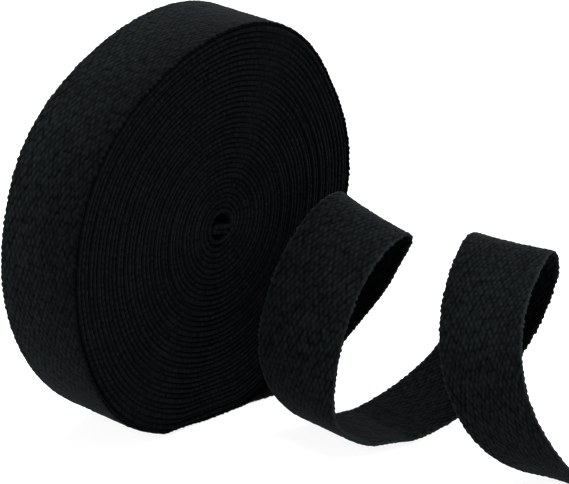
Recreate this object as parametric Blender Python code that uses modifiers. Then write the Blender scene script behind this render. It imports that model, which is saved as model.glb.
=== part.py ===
"""A roll of heavy woven webbing that stands on its rim, with its free end run off in two loops.

Metres, +Z up. The roll's axis lies along Y and its front face looks towards -Y. The origin is on
the floor, in the flat spot under the roll's axis. Seen from the front, the webbing runs outwards
anticlockwise: over the top, down the -X side, under the roll and off it towards +X.
"""
import math

import bmesh
import bpy
import numpy as np

# The webbing, and the gap that keeps touching pieces apart
WIDTH = 0.038
THICKNESS = 0.0021
GAP = 0.0003

# The wound roll: the sagged rim puts the axis a little lower than the radius
ROLL_RADIUS = 0.0851
AXIS_HEIGHT = 0.972 * ROLL_RADIUS
LEAVE_X = 0.010
COLUMNS = 96

# How far the rim stands from a true circle: degrees from the top towards +X, share of the radius.
# It starts at the end of the outermost turn and runs back along the webbing, so the last row lies
# one turn further in than the first.
ROLL_SHAPE = (
    (-180, 1.008),
    (-162, 1.006),
    (-142, 1.018),
    (-122, 1.005),
    (-92, 1.002),
    (-66, 1.010),
    (-46, 0.998),
    (-28, 0.989),
    (-10, 1.006),
    (5, 1.031),
    (17, 1.042),
    (30, 1.036),
    (47, 1.007),
    (66, 1.006),
    (86, 0.992),
    (112, 0.979),
    (145, 0.982),
    (180, 0.983),
)

# Rings of the roll's face, as shares of the way from the core to the outermost turn's line. The face
# is a little uneven: how far it dips, and how many radians the dips run through and turn on the way
FACE_RINGS = (0.10, 0.36, 0.62, 0.86)
FACE_DIP = 0.00035
DIPS_OUTWARDS = 9.0
DIPS_TURN = 5.0
RIM_ROUND = 0.0005

# The outermost turn stands off the others at the lower left: a groove in each face, widest there
LOOSE_ANGLE = math.radians(-128)
LOOSE_SPREAD = math.radians(34)
GROOVE_WIDTH = (0.0004, 0.0013)
GROOVE_DEPTH = (0.0006, 0.0045)

# The small eyes on each side of the folded start: name, x and height from the axis, half width,
# half length, lean of the length from upright in degrees
CORE_EYES = (
    ("upper", -0.0022, 0.0071, 0.0018, 0.0031, 52),
    ("lower", -0.0043, -0.0006, 0.0014, 0.0024, 40),
)
EYE_SIDES = 12

# The free end, row by row: what it does there, the middle of the webbing in millimetres, the swing
# of its width from +Y towards +X, and how far its inner edge is tipped up, both in degrees
ROUTE = (
    ("meets the outer turn", 10.3, 0, 1.05, 0, 0),
    ("flat under the roll", 22, 0, 1.1, 1, 0),
    ("starts to lift", 36, -1, 2.3, 9, 2),
    ("swings clear of the face", 55, -10, 12, 24, 17),
    ("rises on the far side", 67.5, -25.5, 31.5, 37, 25),
    ("high on the far side", 68.5, -42.5, 58.5, 38, 26),
    ("nears the first top", 62, -52, 79.5, 19, 27),
    ("turns over", 55, -55, 90, 3, 21),
    ("first top", 47, -57, 94, -5, 14),
    ("comes down", 35, -58, 91.5, -5, 9),
    ("high on the near side", 15, -58, 73, -5, 3),
    ("low on the near side", 5, -59, 42.5, -3, -3),
    ("turns under", 12, -61, 17, 10, -2),
    ("reaches the floor", 31, -66, 3.8, 12, -6),
    ("leaves the floor", 65, -74, 5, 16, 1),
    ("rises again", 95, -84, 22, 14, 7),
    ("second far side", 110, -90, 47.5, 3, 9),
    ("nears the second top", 110.5, -94, 69, -3, 8),
    ("second turn over", 106, -96, 78.5, -8, 8),
    ("second top", 97, -97.5, 82.5, -12, -1),
    ("comes down again", 76, -103, 77.5, -10, -12),
    ("second near side", 49, -116, 56, -5, -28),
    ("lowest of the slant", 42, -132, 31, 12, -36),
    ("sweeps outwards", 53, -150, 11.5, 30, -26),
    ("meets the floor", 71, -167, 2.6, 37, -5),
    ("flat on the floor", 99, -189, 1.1, 37, 0),
    ("cut end", 124, -208, 1.05, 37, 0),
)
STATION_STEP = 0.004
STRIPS_ACROSS = 4

WEBBING_COLOUR = (0.0115, 0.0125, 0.0145, 1.0)
WEBBING_ROUGHNESS = 0.9
SHARP_ANGLE = math.radians(35)


def clear_scene():
    for thing in list(bpy.data.objects):
        bpy.data.objects.remove(thing, do_unlink=True)


def new_collection(name):
    collection = bpy.data.collections.new(name)
    bpy.context.scene.collection.children.link(collection)
    return collection


def webbing_material():
    """Matte near-black woven cotton or polypropylene."""
    material = bpy.data.materials.new("black_webbing")
    material.use_nodes = True
    shader = material.node_tree.nodes["Principled BSDF"]
    shader.inputs["Base Color"].default_value = WEBBING_COLOUR
    shader.inputs["Roughness"].default_value = WEBBING_ROUGHNESS
    shader.inputs["Metallic"].default_value = 0.0
    return material


def smooth_through(knots, rows, places):
    """A smooth curve through the rows, which stand at the knots, read at the places."""
    knots = np.asarray(knots, float)
    rows = np.asarray(rows, float)
    count = len(knots)
    spans = np.diff(knots)
    slopes = np.diff(rows, axis=0) / spans[:, None]
    matrix = np.zeros((count, count))
    right = np.zeros_like(rows)
    matrix[0, 0] = matrix[-1, -1] = 1.0
    for i in range(1, count - 1):
        matrix[i, i - 1:i + 2] = spans[i - 1], 2 * (spans[i - 1] + spans[i]), spans[i]
        right[i] = 6 * (slopes[i] - slopes[i - 1])
    bends = np.linalg.solve(matrix, right)
    i = np.clip(np.searchsorted(knots, places) - 1, 0, count - 2)
    span = spans[i][:, None]
    after = (places - knots[i])[:, None]
    before = span - after
    curved = (bends[i] * before ** 3 + bends[i + 1] * after ** 3) / (6 * span)
    straight_before = (rows[i] / span - bends[i] * span / 6) * before
    straight_after = (rows[i + 1] / span - bends[i + 1] * span / 6) * after
    return curved + straight_before + straight_after


def rim_share(angle):
    """The rim's radius at an angle from the top, as a share of the roll's radius."""
    knots = [math.radians(degrees) for degrees, share in ROLL_SHAPE]
    shares = [[share] for degrees, share in ROLL_SHAPE]
    return float(smooth_through(knots, shares, np.array([angle]))[0, 0])


def looseness(angle):
    """From 0 to 1: how far the outermost turn stands off the others at an angle from the top."""
    return math.exp(-((angle - LOOSE_ANGLE) / LOOSE_SPREAD) ** 2)


def roll_columns():
    """The angle, the outer radius and the resting height of each column of the roll.

    The first column is at the end of the outermost turn. The columns then run back along the
    webbing, up the -X side, over the top and down to the loose end that runs out under the roll.
    """
    leave_angle = math.asin(LEAVE_X / (ROLL_RADIUS * ROLL_SHAPE[0][1]))
    start = -math.pi - leave_angle
    columns = []
    for i in range(COLUMNS):
        wound_back = i / (COLUMNS - 1)
        angle = start + 2 * math.pi * wound_back
        shape_angle = max(-math.pi, min(math.pi, angle))
        radius = ROLL_RADIUS * rim_share(shape_angle)
        on_loose_end = wound_back > 0.5
        floor = THICKNESS + GAP if on_loose_end else 0.0
        columns.append((angle, radius, floor))
    return columns


def roll_profile(angle, radius):
    """The roll's section at one column: (distance from the axis, y), from face to face."""
    loose = looseness(angle)
    width = GROOVE_WIDTH[0] + (GROOVE_WIDTH[1] - GROOVE_WIDTH[0]) * loose
    depth = GROOVE_DEPTH[0] + (GROOVE_DEPTH[1] - GROOVE_DEPTH[0]) * loose
    outer_turn = radius - THICKNESS
    inner = outer_turn - width
    half = WIDTH / 2
    front = []
    for share in FACE_RINGS:
        wave = math.sin(DIPS_OUTWARDS * share) * math.cos(angle + DIPS_TURN * share)
        front.append((inner * share, half - FACE_DIP * (1 + wave) / 2))
    front.append((inner, half))
    front.append((inner + width / 2, half - depth))
    front.append((outer_turn, half))
    front.append((radius - RIM_ROUND, half))
    front.append((radius, half - RIM_ROUND))
    section = [(distance, -y) for distance, y in front]
    section.append((radius, 0.0))
    section += [(distance, y) for distance, y in reversed(front)]
    return section


def roll_mesh():
    """The roll as rings of points round its axis, closed at both ends by a point on the axis."""
    mesh = bmesh.new()
    rings = []
    for angle, radius, floor in roll_columns():
        squeezed = max(0.0, floor - (AXIS_HEIGHT + radius * math.cos(angle)))
        ring = []
        for distance, y in roll_profile(angle, radius):
            x = distance * math.sin(angle)
            z = AXIS_HEIGHT + distance * math.cos(angle) + squeezed * (distance / radius) ** 2
            ring.append(mesh.verts.new((x, y, z)))
        rings.append(ring)
    half = WIDTH / 2
    front_middle = mesh.verts.new((0, -half, AXIS_HEIGHT))
    back_middle = mesh.verts.new((0, half, AXIS_HEIGHT))
    for i, ring in enumerate(rings):
        after = rings[(i + 1) % len(rings)]
        mesh.faces.new((front_middle, ring[0], after[0]))
        mesh.faces.new((back_middle, after[-1], ring[-1]))
        for j in range(len(ring) - 1):
            mesh.faces.new((ring[j], ring[j + 1], after[j + 1], after[j]))
    bmesh.ops.recalc_face_normals(mesh, faces=mesh.faces)
    data = bpy.data.meshes.new("webbing_roll")
    mesh.to_mesh(data)
    mesh.free()
    return data


def add_core_eye(name, x, height, half_width, half_length, lean, cutters):
    """A cutter for one eye of the core, right through the roll."""
    mesh = bmesh.new()
    bmesh.ops.create_cone(mesh, cap_ends=True, segments=EYE_SIDES, radius1=1, radius2=1, depth=2)
    for point in mesh.verts:
        across = point.co.x * half_width
        along = point.co.y * half_length
        turn = math.radians(lean)
        point.co = (
            x + across * math.cos(turn) + along * math.sin(turn),
            -point.co.z * WIDTH,
            AXIS_HEIGHT + height - across * math.sin(turn) + along * math.cos(turn),
        )
    data = bpy.data.meshes.new("eye_" + name)
    mesh.to_mesh(data)
    mesh.free()
    cutter = bpy.data.objects.new("eye_" + name, data)
    cutter.hide_render = True
    cutter.display_type = "WIRE"
    cutters.objects.link(cutter)
    return cutter


def add_webbing_roll(collection, cutters, material):
    """The wound roll with its sagged rim, loose outermost turn and the eyes of its core."""
    roll = bpy.data.objects.new("webbing_roll", roll_mesh())
    roll.data.materials.append(material)
    collection.objects.link(roll)
    for name, x, height, half_width, half_length, lean in CORE_EYES:
        cut = roll.modifiers.new("eye_" + name, "BOOLEAN")
        cut.operation = "DIFFERENCE"
        cut.object = add_core_eye(name, x, height, half_width, half_length, lean, cutters)
    return roll


def route_stations():
    """The middle and the width's direction of the free end, every few millimetres."""
    middles = np.array([row[1:4] for row in ROUTE]) / 1000
    turns = np.radians(np.array([row[4:6] for row in ROUTE], float))
    steps = np.linalg.norm(np.diff(middles, axis=0), axis=1)
    knots = np.concatenate([[0.0], np.cumsum(steps)])
    count = round(knots[-1] / STATION_STEP) + 1
    places = np.linspace(0.0, knots[-1], count)
    read = smooth_through(knots, np.hstack([middles, turns]), places)
    middle, swing, tip = read[:, :3], read[:, 3], read[:, 4]
    across = np.stack([np.sin(swing) * np.cos(tip), np.cos(swing) * np.cos(tip), np.sin(tip)], 1)
    along = np.gradient(middle, axis=0)
    along /= np.linalg.norm(along, axis=1, keepdims=True)
    across -= (across * along).sum(1, keepdims=True) * along
    across /= np.linalg.norm(across, axis=1, keepdims=True)
    lowest_edge = middle[:, 2] - np.abs(across[:, 2]) * WIDTH / 2
    middle[:, 2] += np.maximum(0.0, THICKNESS / 2 - lowest_edge)
    return middle, across


def add_loose_end(collection, material):
    """The free end: an open strip that follows the route, given the webbing's thickness."""
    middle, across = route_stations()
    mesh = bmesh.new()
    steps = len(middle) - 1
    half_side = 0.5
    bmesh.ops.create_grid(mesh, x_segments=steps, y_segments=STRIPS_ACROSS, size=half_side)
    for point in mesh.verts:
        station = round((point.co.x + half_side) * steps)
        point.co = middle[station] + across[station] * point.co.y * WIDTH
    data = bpy.data.meshes.new("loose_end")
    mesh.to_mesh(data)
    mesh.free()
    data.materials.append(material)
    strip = bpy.data.objects.new("loose_end", data)
    collection.objects.link(strip)
    wall = strip.modifiers.new("thickness", "SOLIDIFY")
    wall.thickness = THICKNESS
    wall.offset = 0.0
    wall.use_even_offset = True
    return strip


def shade(thing):
    thing.data.shade_smooth()
    thing.data.set_sharp_from_angle(angle=SHARP_ANGLE)


def main():
    clear_scene()
    parts = new_collection("roll_of_webbing")
    cutters = new_collection("cutters")
    material = webbing_material()
    roll = add_webbing_roll(parts, cutters, material)
    strip = add_loose_end(parts, material)
    for thing in (roll, strip):
        shade(thing)


main()
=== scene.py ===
import math

import bpy
import numpy as np
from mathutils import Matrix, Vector


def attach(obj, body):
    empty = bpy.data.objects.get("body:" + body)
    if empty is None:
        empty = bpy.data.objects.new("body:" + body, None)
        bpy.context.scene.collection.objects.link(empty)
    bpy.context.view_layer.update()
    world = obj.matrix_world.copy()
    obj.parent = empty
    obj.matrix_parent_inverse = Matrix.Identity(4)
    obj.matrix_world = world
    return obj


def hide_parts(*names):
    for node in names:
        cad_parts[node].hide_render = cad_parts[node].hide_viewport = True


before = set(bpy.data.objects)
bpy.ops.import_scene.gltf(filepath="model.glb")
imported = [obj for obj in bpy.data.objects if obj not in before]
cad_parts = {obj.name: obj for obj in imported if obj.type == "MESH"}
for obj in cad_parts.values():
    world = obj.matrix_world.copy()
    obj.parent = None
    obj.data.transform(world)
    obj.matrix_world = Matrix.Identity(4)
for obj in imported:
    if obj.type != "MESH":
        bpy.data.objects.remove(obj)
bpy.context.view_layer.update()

bpy.ops.object.select_all(action="DESELECT")

# The webbing's outermost turn
#
# Heavy black cotton webbing from a narrow loom. Its thick soft yarns pass over the weft as short plump
# grains, set like bricks, and no two are alike. At the edges the weft turns back in small loops. The
# outermost turn shows its whole outer side and leaves the roll at the floor.
WIDTH = 0.038
THICKNESS = 0.0019
GRAINS_ACROSS = 17
GRAIN_PITCH = WIDTH / GRAINS_ACROSS
ROW_PITCH = 0.00249
# Half the length and half the width of a grain, how high it stands and how far it strays
GRAIN_REACH = (0.00185, 0.00118)
GRAIN_RISE = 0.00050
GRAIN_STRAY = (0.00050, 0.00030)
# The loops of weft at the edges: how far they stand out where they show whole and in the roll's faces
EDGE_LOOP = 0.00100
WOUND_EDGE_LOOP = 0.00045
# The two edges' loops stand half a pitch apart, each a quarter off the rows of grains
LOOP_SHIFT = 0.25
# The edge is rounded: the sides' borders lie at a share of half the thickness, and the loops stand out
# by a share of their reach there. The nose between the borders has two rows of points.
EDGE_HEIGHT = 0.50
COVERED_EDGE_HEIGHT = 0.70
BORDER_LOOP = 0.8
COVERED_BORDER_LOOP = 0.7
NOSE_LEVELS = (0.26, -0.26)
NOSE_ROUNDING = 0.00008
# How pale the edges are painted, on a scale from a hollow, 0, to a grain's top, 1: between the loops of
# weft, and how much more on them, a painted highlight. The rows where the turns bear on each other lie
# in painted shade.
BORDER_PAINTED_LIGHT = (0.3, 0.7)
COVERED_PAINTED_LIGHT = (0.2, 0.4)
BETWEEN_TURNS_PAINTED_SHADE = 0.15
NOSE_LOOP_PAINTED_HIGHLIGHT = 0.5
# Painted light and shade: how much paler than the rest the far edge of the rim is painted, its near
# edge as much darker, and how much paler the loops' edges are painted, a painted highlight; and the
# length of loose end over which the one gives way to the other
RIM_PAINTED_SHADING = 0.34
EDGE_PAINTED_HIGHLIGHT = 1.05
PAINTED_LIGHT_FADE = 0.06

ROLL_RADIUS = 0.0851
AXIS_HEIGHT = 0.972 * ROLL_RADIUS
LEAVE_X = 0.010
CAD_THICKNESS = 0.0021

# How far the rim stands from a true circle: degrees from the top towards +X, share of the radius.
# It starts at the end of the outermost turn and runs back along the webbing.
ROLL_SHAPE = (
    (-180, 1.008),
    (-162, 1.006),
    (-142, 1.018),
    (-122, 1.005),
    (-92, 1.002),
    (-66, 1.010),
    (-46, 0.998),
    (-28, 0.989),
    (-10, 1.006),
    (5, 1.031),
    (17, 1.042),
    (30, 1.036),
    (47, 1.007),
    (66, 1.006),
    (86, 0.992),
    (112, 0.979),
    (145, 0.982),
    (180, 0.983),
)
# How far the far edge of the outermost turn stands out beyond the near edge: degrees, millimetres.
# The turns inside it follow less and less, over a number of turns.
FAR_EDGE_RISE = (
    (-180, 0.0),
    (-162, 1.1),
    (-142, 0.0),
    (-122, 0.7),
    (-105, 1.0),
    (-92, 0.4),
    (-80, -0.1),
    (-66, 0.5),
    (-46, 0.3),
    (-28, 0.5),
    (-10, 0.9),
    (5, 1.4),
    (20, 2.1),
    (35, 1.9),
    (66, 0.6),
    (112, 0.0),
    (180, 0.0),
)
FAR_EDGE_TURNS = 5.0
# The turns inside the first follow its shape less and less, and their centre drifts to the core's
SHAPE_FADE = 1.5
CORE_DRIFT = (-0.0027, 0.0045)
TURNS_IN_SPIRAL = 34
TURN_STEPS = 720
# The turns' edges aren't flush: the webbing strays along the axis, by half a millimetre at most, in
# three waves, each with its radians to the metre and its start. The last stretch lies true.
STRAY = 0.00016
STRAY_WAVES = ((17.3, 0.0), (41.9, 2.0), (8.1, 4.0))
TRUE_STRETCH = 0.06
# The innermost turns are pressed in at the lower right of the core
DENT_ANGLE = math.radians(135)
DENT_SPREAD = math.radians(38)
DENT_DEPTH = 0.0022
DENT_FADE = 0.012
# The outermost turn stands off the others at the lower left: those are drawn in, and less and less so
# over a number of turns
SLACK_ANGLE = math.radians(-128)
SLACK_SPREAD = math.radians(34)
SLACK_GAP = 0.0011
SLACK_TURNS = 8.0
# Hand winding leaves the turns a little uneven: two waves, each with its rate and its start
UNEVEN_WINDING = 0.00005
UNEVEN_WAVES = ((1.37, 0.0), (0.21, 1.0))
# Under the outermost turn the slack and the unevenness come in over this share of a turn
TUCK_SHARE = 1 / 6
# Each turn settles on the one below it in the flat spot, a little closer than elsewhere
SETTLED_PITCH = 0.0020
SETTLED_EDGE = 0.0004

# The folded start in the core: x and height over the axis of the webbing's middle, in millimetres
CORE_ROUTE = (
    (1.0, 1.5),
    (-1.4, 1.6),
    (-4.2, 1.9),
    (-6.2, 2.3),
    (-7.0, 3.1),
    (-6.1, 3.95),
    (-3.0, 3.85),
    (0.2, 3.55),
    (2.4, 3.7),
    (3.6, 4.9),
    (3.65, 6.6),
    (2.8, 8.2),
    (0.5, 10.0),
    (-2.6, 10.7),
    (-5.7, 10.0),
    (-8.2, 7.9),
    (-9.4, 4.6),
    (-8.8, 1.0),
    (-6.3, -1.8),
    (-2.6, -2.7),
    (0.9, -1.5),
    (3.8, 0.9),
    (5.7, 4.6),
    (4.8, 8.9),
    (1.6, 12.0),
    (-2.6, 13.0),
    (-6.8, 11.9),
    (-10.2, 9.0),
    (-11.7, 4.6),
    (-10.9, -0.2),
    (-7.7, -4.2),
)
CURVE_STEP = 0.0003
# The innermost turns were wound with less pull, so the webbing is plumper there
CORE_PLUMPNESS = 0.15
CORE_LENGTH = 0.5
# Wound webbing bears on the next turn between its rounded edges. To do so it swells by a quarter at
# most, so it stands clear where it lies loose.
EDGE_SHARE = 0.95
MOST_SWOLLEN = 1.25


def smooth_through(knots, rows, places):
    """A smooth curve through the rows, which stand at the knots, read at the places."""
    knots = np.asarray(knots, float)
    rows = np.asarray(rows, float)
    count = len(knots)
    spans = np.diff(knots)
    slopes = np.diff(rows, axis=0) / spans[:, None]
    matrix = np.zeros((count, count))
    right = np.zeros_like(rows)
    matrix[0, 0] = matrix[-1, -1] = 1.0
    for i in range(1, count - 1):
        matrix[i, i - 1:i + 2] = spans[i - 1], 2 * (spans[i - 1] + spans[i]), spans[i]
        right[i] = 6 * (slopes[i] - slopes[i - 1])
    bends = np.linalg.solve(matrix, right)
    i = np.clip(np.searchsorted(knots, places) - 1, 0, count - 2)
    span = spans[i][:, None]
    after = (places - knots[i])[:, None]
    before = span - after
    curved = (bends[i] * before ** 3 + bends[i + 1] * after ** 3) / (6 * span)
    straight_before = (rows[i] / span - bends[i] * span / 6) * before
    straight_after = (rows[i + 1] / span - bends[i + 1] * span / 6) * after
    return curved + straight_before + straight_after


def lengths_along(points):
    """How far along the polyline each of its points lies."""
    steps = np.linalg.norm(np.diff(points, axis=0), axis=1)
    return np.concatenate([[0.0], np.cumsum(steps)])


def wound_route():
    """The webbing's middle and the direction of its width in the roll, from the core outwards."""
    first_share = ROLL_SHAPE[0][1]
    share_per_turn = first_share - ROLL_SHAPE[-1][1]
    leave_angle = math.asin(LEAVE_X / (ROLL_RADIUS * first_share))
    # How far each point lies back along the winding from the end of the outermost turn
    last_back = leave_angle + 2 * math.pi * (TURNS_IN_SPIRAL + 1)
    back = np.arange(last_back, 0.0, -2 * math.pi / TURN_STEPS)
    back = np.append(back, 0.0)
    turns_in = np.maximum(0.0, (back - leave_angle) / (2 * math.pi))
    angle = (back - leave_angle) % (2 * math.pi) - math.pi
    angle = np.where(back < leave_angle, back - leave_angle - math.pi, angle)
    shape_angle = np.clip(angle, -math.pi, math.pi)
    # The rim's own shape, which the turns inside it follow less and less
    knots = np.radians([row[0] for row in ROLL_SHAPE])
    shares = np.array([[row[1]] for row in ROLL_SHAPE])
    share = smooth_through(knots, shares, shape_angle)[:, 0]
    even_share = first_share - share_per_turn * (shape_angle + math.pi) / (2 * math.pi)
    even_radius = ROLL_RADIUS * (first_share - share_per_turn * turns_in)
    depth = even_radius / ROLL_RADIUS
    radius = even_radius * (1 + (share - even_share) * depth ** SHAPE_FADE)
    # The slack and the dent are bells around their angles
    loose = np.exp(2 * (np.cos(angle - SLACK_ANGLE) - 1) / SLACK_SPREAD ** 2)
    under = np.clip((turns_in - 1) / TUCK_SHARE, 0, 1)
    radius -= SLACK_GAP * loose * under * np.exp(-np.maximum(0, turns_in - 1) / SLACK_TURNS)
    dent = np.exp(2 * (np.cos(angle - DENT_ANGLE) - 1) / DENT_SPREAD ** 2)
    radius -= DENT_DEPTH * dent * np.exp(-(even_radius - even_radius.min()) / DENT_FADE)
    quick_wave, slow_wave = (np.sin(back * rate + start) for rate, start in UNEVEN_WAVES)
    radius += UNEVEN_WINDING * quick_wave * slow_wave * under
    drift = np.maximum(0.0, 1 - depth)
    x = CORE_DRIFT[0] * drift + radius * np.sin(angle)
    natural = AXIS_HEIGHT + CORE_DRIFT[1] * drift + radius * np.cos(angle)
    # In the flat spot each turn is lifted onto the ones below it, with a soft start and end
    layer = np.floor(back / (2 * math.pi) + 0.5)
    short = layer * SETTLED_PITCH - natural
    settled = (short + np.sqrt(short ** 2 + SETTLED_EDGE ** 2)) / 2
    outer = np.stack([x, natural + settled], 1)
    along = np.gradient(outer, axis=0)
    along /= np.linalg.norm(along, axis=1, keepdims=True)
    inwards = np.stack([-along[:, 1], along[:, 0]], 1)
    # The far edge of the outer turns stands out, so the webbing is tipped and its middle moves out too
    knots = np.radians([row[0] for row in FAR_EDGE_RISE])
    rises = np.array([[row[1]] for row in FAR_EDGE_RISE]) / 1000
    rise = smooth_through(knots, rises, shape_angle)[:, :1]
    rise *= np.exp(-np.maximum(0.0, turns_in - 1) / FAR_EDGE_TURNS)[:, None]
    spiral = outer + inwards * (CAD_THICKNESS - rise) / 2
    tipped = -inwards * rise / WIDTH
    # The core's curve is drawn through the spiral's first third of a turn too, so that they join
    core = np.array(CORE_ROUTE) / 1000 + [0.0, AXIS_HEIGHT]
    joined = np.vstack([core, spiral[0:TURN_STEPS // 3:TURN_STEPS // 60]])
    knots = lengths_along(joined)
    last = knots[len(core)]
    curve = smooth_through(knots, joined, np.arange(0.0, last, CURVE_STEP))
    flat = np.vstack([curve, spiral])
    tipped = np.vstack([np.zeros_like(curve), tipped])
    # How far each turn lies from the next one out
    to_next = np.linalg.norm(outer[TURN_STEPS:] - outer[:-TURN_STEPS], axis=1)
    core_room = np.full(len(curve), to_next[0])
    room = np.concatenate([core_room, to_next, to_next[-TURN_STEPS:]])
    middle = np.stack([flat[:, 0], np.zeros(len(flat)), flat[:, 1]], 1)
    across = np.stack([tipped[:, 0], np.ones(len(flat)), tipped[:, 1]], 1)
    return middle, across, room


# The route laid so far is the roll's, and the loose end's is added in its own section. Places along
# the webbing are counted from where it leaves the roll, so the roll's are below zero.
laid_middle, laid_across, wound_room = wound_route()
wound_places = lengths_along(laid_middle)
wound_places -= wound_places[-1]
laid_places = wound_places
# Every grain has a place of its own and a size, by row along the webbing and column across it, with
# spare columns past both edges
grain_numbers = np.random.default_rng(38)
GRAIN_ROWS = 997
SPARE_COLUMNS = 2
grain_strays = grain_numbers.uniform(-1, 1, (GRAIN_ROWS, GRAINS_ACROSS + 2 * SPARE_COLUMNS, 2))
grain_sizes = grain_numbers.uniform(0.5, 1.0, (GRAIN_ROWS, GRAINS_ACROSS + 2 * SPARE_COLUMNS))
loop_sizes = grain_numbers.uniform(0.3, 1.0, GRAIN_ROWS)
loop_strays = grain_numbers.uniform(-0.16, 0.16, GRAIN_ROWS)
START = wound_places[0]
# The outermost turn starts one turn back and has four rings of points to a row of grains
OUTER_STEP = ROW_PITCH / 4
OUTER_START = round(wound_places[-TURN_STEPS - 1] / OUTER_STEP) * OUTER_STEP


def webbing_line(places):
    """The webbing's middle, the direction of its width and its outer side at places along it."""
    middle = np.stack([np.interp(places, laid_places, laid_middle[:, k]) for k in range(3)], 1)
    across = np.stack([np.interp(places, laid_places, laid_across[:, k]) for k in range(3)], 1)
    along = np.gradient(middle, axis=0)
    along /= np.linalg.norm(along, axis=1, keepdims=True)
    across -= (across * along).sum(1, keepdims=True) * along
    across /= np.linalg.norm(across, axis=1, keepdims=True)
    lowest_edge = middle[:, 2] - np.abs(across[:, 2]) * WIDTH / 2
    middle[:, 2] += np.maximum(0.0, CAD_THICKNESS / 2 - lowest_edge)
    in_roll = np.clip(-places / TRUE_STRETCH, 0, 1)
    waves = sum(np.sin(places * wave + start) for wave, start in STRAY_WAVES)
    middle[:, 1] += STRAY * waves * in_roll
    return middle, across, np.cross(across, along)


def half_thickness(places):
    """Half the webbing's thickness, which is a little more in the loosely wound core."""
    return THICKNESS / 2 * (1 + CORE_PLUMPNESS * np.exp(-(places - START) / CORE_LENGTH))


def grain_height(places, across, sign):
    """From 0 to 1: how high the weave's grains stand at places along the webbing and across it.

    The grains stand like bricks, in two sets: the odd rows are set over by half a column.
    """
    height = np.zeros(len(places))
    for set_back in (0, 1):
        row = 2 * np.round((places / ROW_PITCH - set_back) / 2) + set_back
        column = np.round(across / GRAIN_PITCH - set_back / 2) + set_back / 2
        row_number = (row * sign).astype(int) % GRAIN_ROWS
        column_number = np.floor(column + GRAINS_ACROSS / 2 + SPARE_COLUMNS).astype(int)
        stray = grain_strays[row_number, column_number]
        from_row = places - row * ROW_PITCH + GRAIN_STRAY[0] * stray[:, 0]
        from_column = across - column * GRAIN_PITCH + GRAIN_STRAY[1] * stray[:, 1]
        from_middle = (from_row / GRAIN_REACH[0]) ** 2 + (from_column / GRAIN_REACH[1]) ** 2
        plump = np.maximum(0.0, 1 - from_middle)
        height = np.maximum(height, plump * grain_sizes[row_number, column_number])
    return height


def edge_loops(places, end):
    """From 0 to 1: how far a loop of weft stands out of the edge at places along the webbing."""
    row = np.round(places / ROW_PITCH + end * LOOP_SHIFT)
    number = (row * end).astype(int) % GRAIN_ROWS
    from_row = places / ROW_PITCH + end * LOOP_SHIFT - row + loop_strays[number]
    return loop_sizes[number] * np.maximum(0.0, 1 - (2 * from_row) ** 2)


def woven_side(places, sign, samples=4):
    """A side in full relief: for each row of points its place across, its height and its grain, which
    also sets its painted shade.
    """
    half = sign * half_thickness(places)
    count = samples * GRAINS_ACROSS
    rows = []
    for j in range(count + 1):
        across = -WIDTH / 2 + j * WIDTH / count
        if j in (0, count):
            loops = edge_loops(places, math.copysign(1, across))
            out = across + math.copysign(EDGE_LOOP * BORDER_LOOP, across) * loops
            # The border is painted darker than the grains' tops, and paler on the loops as a painted
            # highlight
            grain_and_painted_shade = BORDER_PAINTED_LIGHT[0] + BORDER_PAINTED_LIGHT[1] * loops
            rows.append((out, half * EDGE_HEIGHT, grain_and_painted_shade, across))
        else:
            grain_and_painted_shade = grain_height(places, np.full(len(places), across), sign)
            height = half - sign * GRAIN_RISE * (1 - grain_and_painted_shade)
            rows.append((np.full(len(places), across), height, grain_and_painted_shade, across))
    return rows


def plain_woven_side(places, sign):
    """A side that shows less: its grains have half as many points across."""
    return woven_side(places, sign, samples=2)


def covered_side(places, sign):
    """A side that the next turn covers: inside its rounded edges it bears on that turn."""
    half = half_thickness(places)
    bearing = np.interp(places, wound_places, wound_room) / 2
    bearing = np.minimum(bearing, MOST_SWOLLEN * half)
    rows = []
    for share in (-1, -EDGE_SHARE, EDGE_SHARE, 1):
        across = share * WIDTH / 2
        if abs(share) == 1:
            loops = edge_loops(places, share)
            out = across + share * WOUND_EDGE_LOOP * COVERED_BORDER_LOOP * loops
            # Painted shade at the covered edges, paler on the loops
            grain_and_painted_shade = COVERED_PAINTED_LIGHT[0] + COVERED_PAINTED_LIGHT[1] * loops
            rows.append((out, sign * half * COVERED_EDGE_HEIGHT, grain_and_painted_shade, across))
        else:
            # Between the turns the colour is painted shade
            grain_and_painted_shade = np.full(len(places), BETWEEN_TURNS_PAINTED_SHADE)
            rows.append((np.full(len(places), across), sign * bearing, grain_and_painted_shade, across))
    return rows


def nose(places, end, loop, nose_painted_light):
    """The rounded edge between the two sides, beaded by the weft's loops, with its painted light and a
    painted highlight on the loops.
    """
    loops = edge_loops(places, end)
    rows = []
    for level in NOSE_LEVELS:
        out = end * (WIDTH / 2 + NOSE_ROUNDING + loop * loops)
        grain_and_painted_shade = np.minimum(1.0, nose_painted_light + NOSE_LOOP_PAINTED_HIGHLIGHT * loops)
        rows.append((out, level * half_thickness(places), grain_and_painted_shade, end * WIDTH / 2))
    return rows


def painted_light(places, across):
    """Painted light: the rim paler towards its far edge and darker towards its near one, the loops'
    edges paler.
    """
    on_rim = np.where(places < OUTER_START, 0.0, np.clip(1 - places / PAINTED_LIGHT_FADE, 0, 1))
    on_loops = np.clip(places / PAINTED_LIGHT_FADE, 0, 1)
    at_edge = np.isclose(np.abs(across), WIDTH / 2)
    return 1 + RIM_PAINTED_SHADING * on_rim * across / (WIDTH / 2) + EDGE_PAINTED_HIGHLIGHT * on_loops * at_edge


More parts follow.
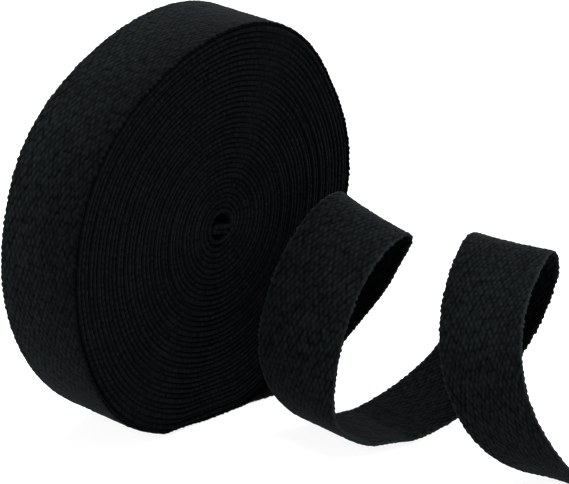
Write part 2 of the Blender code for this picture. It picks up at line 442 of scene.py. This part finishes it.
def webbing_piece(name, first, last, step, outer_side, inner_side, loop, nose_painted_light):
    """One closed length of the webbing, with its weave in relief on the sides that show."""
    count = round((last - first) / step) + 1
    places = np.linspace(first, last, count)
    middle, across, outer = webbing_line(places)
    section = outer_side(places, 1) + nose(places, 1, loop, nose_painted_light)
    section += inner_side(places, -1)[::-1] + nose(places, -1, loop, nose_painted_light)[::-1]
    aside = np.stack([row[0] for row in section], 1)
    height = np.stack([row[1] for row in section], 1)
    points = middle[:, None] + across[:, None] * aside[..., None] + outer[:, None] * height[..., None]
    points[..., 2] = np.maximum(points[..., 2], 0.0)
    around = len(section)
    i, j = np.meshgrid(np.arange(count - 1), np.arange(around), indexing="ij")
    k = (j + 1) % around
    quads = np.stack([i * around + j, i * around + k, (i + 1) * around + k, (i + 1) * around + j], -1)
    faces = quads.reshape(-1, 4).tolist()
    # Each end is closed by one face
    last_ring = (count - 1) * around
    faces.append(list(range(around))[::-1])
    faces.append(list(range(last_ring, last_ring + around)))
    data = bpy.data.meshes.new(name)
    data.from_pydata(points.reshape(-1, 3).tolist(), [], faces)
    # The UV map is the cloth laid flat: U is the length along it and V the place across, in metres
    width_places = np.tile([row[3] for row in section], (count, 1))
    length_places = np.repeat(places, around)
    flat = np.stack([length_places, width_places.reshape(-1)], 1)
    layer = data.uv_layers.new(name="webbing")
    corners = np.zeros(len(data.loops), np.int32)
    data.loops.foreach_get("vertex_index", corners)
    layer.data.foreach_set("uv", flat[corners].astype(np.float32).ravel())
    grain_and_painted_shade = np.stack([row[2] for row in section], 1)
    # Both attributes carry painted light and shade to the material: the grains' heights and the rim's
    # and edges' light
    shades = {"grain_and_painted_shade": grain_and_painted_shade.ravel(), "painted_light": painted_light(length_places, width_places.ravel())}
    for title, values in shades.items():
        attribute = data.attributes.new(title, "FLOAT", "POINT")
        attribute.data.foreach_set("value", values.astype(np.float32))
    data.shade_smooth()
    data.update()
    piece = bpy.data.objects.new(name, data)
    bpy.context.scene.collection.objects.link(piece)
    piece.data.materials.append(webbing_finish)
    return piece


def linear(hex_colour):
    """An sRGB hex colour as the linear colour that a shader takes."""
    channels = [int(hex_colour[n:n + 2], 16) / 255 for n in (1, 3, 5)]
    return tuple(c / 12.92 if c <= 0.04045 else ((c + 0.055) / 1.055) ** 2.4 for c in channels) + (1.0,)


def add_node(tree, kind, settings=None, inputs=None):
    """A node with its settings and, for each input, a value or the output that feeds it."""
    node = tree.nodes.new(kind)
    for name, value in (settings or {}).items():
        setattr(node, name, value)
    for name, value in (inputs or {}).items():
        if isinstance(value, bpy.types.NodeSocket):
            tree.links.new(value, node.inputs[name])
        else:
            node.inputs[name].default_value = value
    return node


# Dyed cotton, matte, with soft fibre ends. The grains' tops are paler than the hollows between them:
# the hollows and the grooves between the turns are painted shade.
webbing_finish = bpy.data.materials.new("black_woven_cotton")
webbing_finish.use_nodes = True
tree = webbing_finish.node_tree
shader = tree.nodes["Principled BSDF"]
# The fibres' streaks along the yarns are drawn far coarser than real ones, which wouldn't show
FIBRE_LENGTH = 0.0011
FIBRE_WIDTH = 0.00035
# Worn patches are about 17 mm across
WORN_PATCH = 1 / 60
flat_place = add_node(tree, "ShaderNodeUVMap", {"uv_map": "webbing"})
fibre_place = add_node(
    tree,
    "ShaderNodeMapping",
    inputs={"Vector": flat_place.outputs["UV"], "Scale": (1 / FIBRE_LENGTH, 1 / FIBRE_WIDTH, 1.0)},
)
fibres = add_node(
    tree,
    "ShaderNodeTexNoise",
    inputs={"Vector": fibre_place.outputs[0], "Scale": 1.0, "Detail": 3.0},
)
# The grains' heights, which also set the painted shade of the hollows, the grooves between turns and
# the edges
grain_and_painted_shade = add_node(tree, "ShaderNodeAttribute", {"attribute_name": "grain_and_painted_shade"})
# The heights with the fibres' streaks, which the map range below turns into painted shade
height = add_node(
    tree,
    "ShaderNodeMath",
    {"operation": "MULTIPLY_ADD"},
    {0: fibres.outputs["Fac"], 1: 0.9, 2: grain_and_painted_shade.outputs["Fac"]},
)
relief = add_node(
    tree,
    "ShaderNodeBump",
    inputs={"Strength": 0.8, "Distance": 0.00030, "Height": fibres.outputs["Fac"]},
)
shade = add_node(
    tree,
    "ShaderNodeMapRange",
    inputs={"Value": height.outputs[0], "From Min": 0.40, "From Max": 1.25},
)
# Inputs 6 and 7 of a colour mix are its two colours: the painted shade of the hollows and the grains'
# tops
yarn_colour_with_painted_shade = add_node(
    tree,
    "ShaderNodeMix",
    {"data_type": "RGBA"},
    {"Factor": shade.outputs[0], 6: linear("#010101"), 7: linear("#101314")},
)
wear_place = add_node(tree, "ShaderNodeTexCoord")
wear = add_node(
    tree,
    "ShaderNodeTexNoise",
    inputs={"Vector": wear_place.outputs["Object"], "Scale": 1 / WORN_PATCH, "Detail": 2.0},
)
worn = add_node(
    tree,
    "ShaderNodeMapRange",
    inputs={
        "Value": wear.outputs["Fac"],
        "From Min": 0.3,
        "From Max": 0.7,
        "To Min": 0.92,
        "To Max": 1.08,
    },
)
# Painted light and shade across the rim and a painted highlight along the loops' edges, multiplied with
# the wear
painted_light_node = add_node(tree, "ShaderNodeAttribute", {"attribute_name": "painted_light"})
wear_and_painted_light = add_node(
    tree,
    "ShaderNodeMath",
    {"operation": "MULTIPLY"},
    {0: worn.outputs[0], 1: painted_light_node.outputs["Fac"]},
)
tint = add_node(
    tree,
    "ShaderNodeVectorMath",
    {"operation": "SCALE"},
    {"Vector": yarn_colour_with_painted_shade.outputs[2], "Scale": wear_and_painted_light.outputs[0]},
)
tree.links.new(tint.outputs[0], shader.inputs["Base Color"])
tree.links.new(relief.outputs[0], shader.inputs["Normal"])
shader.inputs["Roughness"].default_value = 0.9
shader.inputs["IOR"].default_value = 1.45
shader.inputs["Specular IOR Level"].default_value = 0.01
shader.inputs["Sheen Weight"].default_value = 0.045
shader.inputs["Sheen Roughness"].default_value = 0.3
shader.inputs["Sheen Tint"].default_value = linear("#c9d3da")

outer_turn = webbing_piece(
    "outer_turn",
    first=OUTER_START,
    last=0.0,
    step=OUTER_STEP,
    outer_side=woven_side,
    inner_side=covered_side,
    loop=EDGE_LOOP,
    nose_painted_light=0.1,
)
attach(outer_turn, "root")

# The wound turns
#
# The same webbing, wound by hand on itself into some forty turns. Only its edges show: each turn is a
# ridge beaded by the weft's loops. The start is folded over in the core and leaves two small eyes.
EDGE_STEP = ROW_PITCH / 5
PIECES = ("inner_turns", "middle_turns", "outer_turns")
ends = np.linspace(START, OUTER_START, len(PIECES) + 1)
for name, first, last in zip(PIECES, ends[:-1], ends[1:]):
    turns = webbing_piece(
        name,
        first=first,
        last=last,
        step=EDGE_STEP,
        outer_side=covered_side,
        inner_side=covered_side,
        loop=WOUND_EDGE_LOOP,
        nose_painted_light=0.25,
    )
    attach(turns, "root")
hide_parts("webbing_roll")

# The loose end
#
# The free end of the same webbing runs off under the roll, rises in two open loops in front of its
# face and lies down to the cut end. Both sides show.
LOOSE_STEP = ROW_PITCH / 3.5
# The free end, row by row: the middle of the webbing in millimetres, the swing of its width from +Y
# towards +X, and how far its inner edge is tipped up, both in degrees
ROUTE = (
    ("meets the outer turn", 10.3, 0, 1.05, 0, 0),
    ("flat under the roll", 22, 0, 1.1, 1, 0),
    ("starts to lift", 36, -1, 2.3, 9, 2),
    ("swings clear of the face", 55, -10, 12, 24, 17),
    ("rises on the far side", 67.5, -25.5, 31.5, 37, 25),
    ("high on the far side", 68.5, -42.5, 58.5, 38, 26),
    ("nears the first top", 61, -52, 79.5, 18, 25),
    ("turns over", 55.5, -55, 90, 1, 17),
    ("first top", 47.5, -57, 93.5, -5, 12.5),
    ("comes down", 35, -58, 91.5, -5, 9),
    ("high on the near side", 15, -58, 73, -5, 3),
    ("low on the near side", 5, -59, 42.5, -3, -3),
    ("turns under", 12, -61, 17, 10, -2),
    ("reaches the floor", 31, -66.3, 3.6, 12, -5.5),
    ("leaves the floor", 65, -74.5, 4.5, 16, 0),
    ("rises again", 95, -84, 22, 14, 7),
    ("second far side", 110, -90, 47.5, 3, 9),
    ("nears the second top", 110.5, -94, 68.5, -3, 8),
    ("second turn over", 105.8, -96, 78.2, -8, 7),
    ("second top", 97, -97.5, 83.3, -12, -1),
    ("comes down again", 76, -103, 78, -10, -10.5),
    ("second near side", 49, -116, 56, -5, -28),
    ("lowest of the slant", 42, -132, 31, 12, -36),
    ("sweeps outwards", 53, -150, 11.5, 30, -26),
    ("meets the floor", 71, -167, 2.6, 37, -5),
    ("flat on the floor", 99, -189, 1.1, 37, 0),
    ("cut end", 124, -208, 1.05, 37, 0),
)


def free_route():
    """The middle of the free end and the direction of its width, every CURVE_STEP or so."""
    middles = np.array([row[1:4] for row in ROUTE]) / 1000
    turns = np.radians(np.array([row[4:6] for row in ROUTE], float))
    knots = lengths_along(middles)
    places = np.linspace(0.0, knots[-1], round(knots[-1] / CURVE_STEP))
    read = smooth_through(knots, np.hstack([middles, turns]), places)
    middle, swing, tip = read[:, :3], read[:, 3], read[:, 4]
    across = np.stack([np.sin(swing) * np.cos(tip), np.cos(swing) * np.cos(tip), np.sin(tip)], 1)
    return middle, across


free_middle, free_across = free_route()
laid_middle = np.vstack([laid_middle, free_middle])
laid_across = np.vstack([laid_across, free_across])
laid_places = lengths_along(laid_middle)
laid_places -= laid_places[len(wound_places) - 1]
END = laid_places[-1]
loose_end = webbing_piece(
    "loose_end_webbing",
    first=0.0,
    last=END,
    step=LOOSE_STEP,
    outer_side=woven_side,
    inner_side=plain_woven_side,
    loop=EDGE_LOOP,
    # Its edges are painted pale, a painted highlight along the loops' edges
    nose_painted_light=0.7,
)
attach(loose_end, "root")
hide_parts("loose_end")

# The floor
#
# The pale, matte top of a light table, on which the roll stands. It fills the view and glows a little,
# so shadows stay faint.
bpy.ops.mesh.primitive_plane_add(size=12, location=(0, 0, 0))
floor = bpy.context.object
floor.name = "floor"
floor_finish = bpy.data.materials.new("pale_light_table")
floor_finish.use_nodes = True
floor_shader = floor_finish.node_tree.nodes["Principled BSDF"]
floor_shader.inputs["Base Color"].default_value = linear("#9a9a9a")
floor_shader.inputs["Roughness"].default_value = 1.0
floor_shader.inputs["Specular IOR Level"].default_value = 0.0
floor_shader.inputs["Emission Color"].default_value = (1.0, 1.0, 1.0, 1.0)
floor_shader.inputs["Emission Strength"].default_value = 0.88
floor.data.materials.append(floor_finish)

# The lights
#
# A big soft light above, weaker ones low on both sides and a faint one in front of the roll. A pale
# room fills in the rest.
world = bpy.data.worlds.new("studio")
bpy.context.scene.world = world
world.use_nodes = True
world.node_tree.nodes["Background"].inputs["Color"].default_value = (1.0, 1.0, 1.0, 1.0)
world.node_tree.nodes["Background"].inputs["Strength"].default_value = 0.23
SOFTBOXES = (
    ("overhead_softbox", 6.4, (0.12, 0.1, 1.0)),
    ("left_softbox", 2.6, (-0.95, 0.2, 0.25)),
    ("right_softbox", 3.2, (0.85, 0.35, 0.45)),
    ("front_softbox", 0.9, (0.6, -0.6, 0.53)),
)
for name, energy, direction in SOFTBOXES:
    light = bpy.data.lights.new(name, "SUN")
    light.energy = energy
    light.angle = math.radians(50)
    softbox = bpy.data.objects.new(name, light)
    softbox.rotation_euler = Vector(direction).to_track_quat("Z", "Y").to_euler()
    bpy.context.scene.collection.objects.link(softbox)

# The camera
#
# It stands to the left in front of the roll, looks down a little and is turned about its line of sight.
# Its place was fitted to the two rims in the photograph.
camera = bpy.data.objects.new("camera", bpy.data.cameras.new("camera"))
bpy.context.scene.collection.objects.link(camera)
camera.location = (-0.47937, -0.40963, 0.27473)
camera.rotation_euler = [math.radians(a) for a in (72.62, -5.91, -51.28)]
camera.data.lens = 100.8
camera.data.sensor_width = 36.0
bpy.context.scene.camera = camera
bpy.context.scene.view_settings.view_transform = "Standard"
